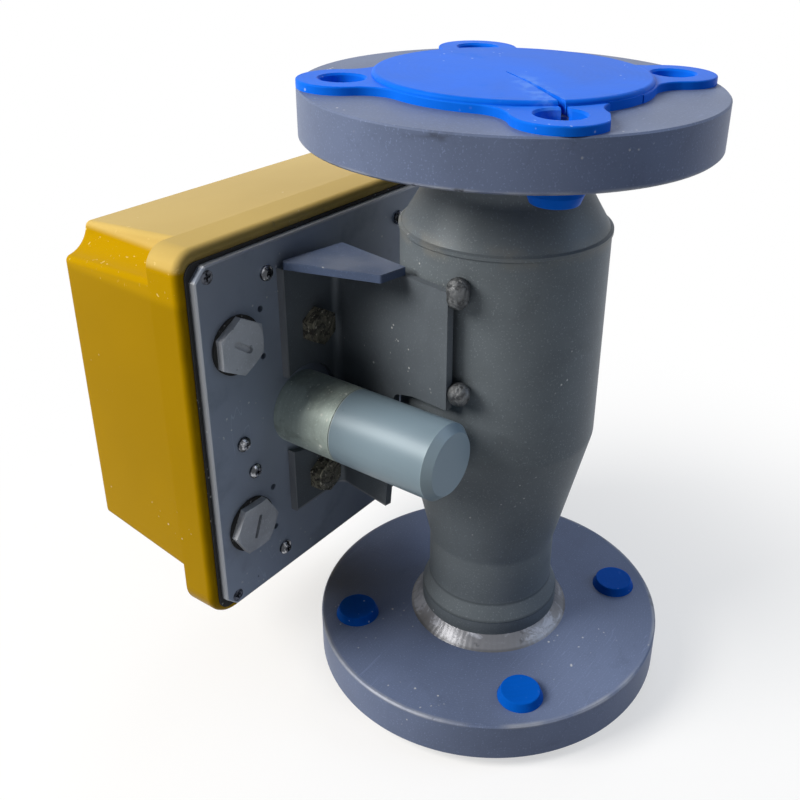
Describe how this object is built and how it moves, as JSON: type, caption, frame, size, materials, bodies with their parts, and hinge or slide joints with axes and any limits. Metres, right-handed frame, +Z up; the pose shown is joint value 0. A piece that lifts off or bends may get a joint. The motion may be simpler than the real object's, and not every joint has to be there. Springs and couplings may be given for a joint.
{
  "type": "flow meter",
  "caption": "Metal-tube variable-area flow meter with flanges, internal float and a magnetically driven dial.",
  "frame": {"origin": "on the axis of the tube, at the underside of the lower flange protector, where the part stands", "axes": "+Z up along the tube in the direction of flow; the dial faces -Y; the indicator is shifted to +X"},
  "size_m": [0.1834, 0.2029, 0.26],
  "materials": {
    "body_metal": "satin, fine blasted",
    "flange_metal": "satin, fine blasted",
    "weld_metal": "satin bead",
    "float_metal": "turned",
    "magnet_dark": "sintered",
    "bracket_metal": "satin, smeared",
    "bolt_metal": "dull, dirty",
    "plate_paint": "satin paint",
    "seal_black": "matt",
    "hood_yellow": "gloss paint",
    "screw_metal": "bright",
    "window_clear": "clear",
    "frame_metal": "satin paint",
    "dial_white": "printed scale",
    "pillar_metal": "turned",
    "pointer_red": "satin paint",
    "spindle_metal": "ground",
    "bearing_brass": "turned",
    "sleeve_metal": "turned, bare",
    "cap_paint": "satin paint",
    "plug_metal": "turned, dull",
    "terminal_plastic": "moulded",
    "cover_blue": "moulded, soft gloss"
  },
  "bodies": {
    "meter": {"metering_body": "body_metal", "upper_reducer": "body_metal", "lower_collar": "body_metal", "lower_flange": "flange_metal", "upper_flange": "flange_metal", "lower_flange_welds": "weld_metal", "upper_flange_welds": "weld_metal", "shoulder_weld": "weld_metal", "lower_guide": "float_metal", "upper_guide": "float_metal", "flange_cover_top": "cover_blue", "flange_cover_bottom": "cover_blue", "mounting_bracket": "bracket_metal", "bracket_gusset": "bracket_metal", "bracket_welds": "weld_metal", "bracket_bolts": "bolt_metal", "bracket_nuts": "bolt_metal", "base_plate": "plate_paint", "hood_gasket": "seal_black", "hood": "hood_yellow", "hood_screws": "screw_metal", "window_gasket": "seal_black", "window_glass": "window_clear", "window_frame": "frame_metal", "window_frame_screws": "screw_metal", "dial_plate": "dial_white", "dial_pillars": "pillar_metal", "dial_screws": "screw_metal", "pillar_screws": "screw_metal", "cable_plug_upper": "plug_metal", "cable_plug_lower": "plug_metal", "plug_gaskets": "seal_black", "plug_nuts": "plug_metal", "terminal_block": "terminal_plastic", "terminal_screws": "screw_metal", "terminal_clamp_screws": "bearing_brass", "sleeve": "sleeve_metal", "sleeve_nut": "sleeve_metal", "sleeve_cap": "cap_paint", "sleeve_seal": "seal_black", "bearing_bridge": "pillar_metal", "front_bearing": "bearing_brass", "rear_bearing": "bearing_brass"},
    "float": {"float_head": "float_metal", "float_rod": "float_metal", "float_magnet": "magnet_dark"},
    "pointer": {"pointer_spindle": "spindle_metal", "magnet_holder": "pillar_metal", "follower_magnet": "magnet_dark", "pointer": "pointer_red"}
  },
  "joints": [
    {"name": "float_travel", "type": "slide", "parent": "meter", "child": "float", "axis": [0, 0, 1], "range_m": [0, 0.04]},
    {"name": "pointer_turn", "type": "hinge", "parent": "meter", "child": "pointer", "pos_m": [0.056, -0.0581, 0.1301], "axis": [0, 1, 0], "range_deg": [0, 90.01]}
  ],
  "couplings": [
    {"joint": "pointer_turn", "follows": "float_travel", "rad_per_m": 39.27}
  ]
}
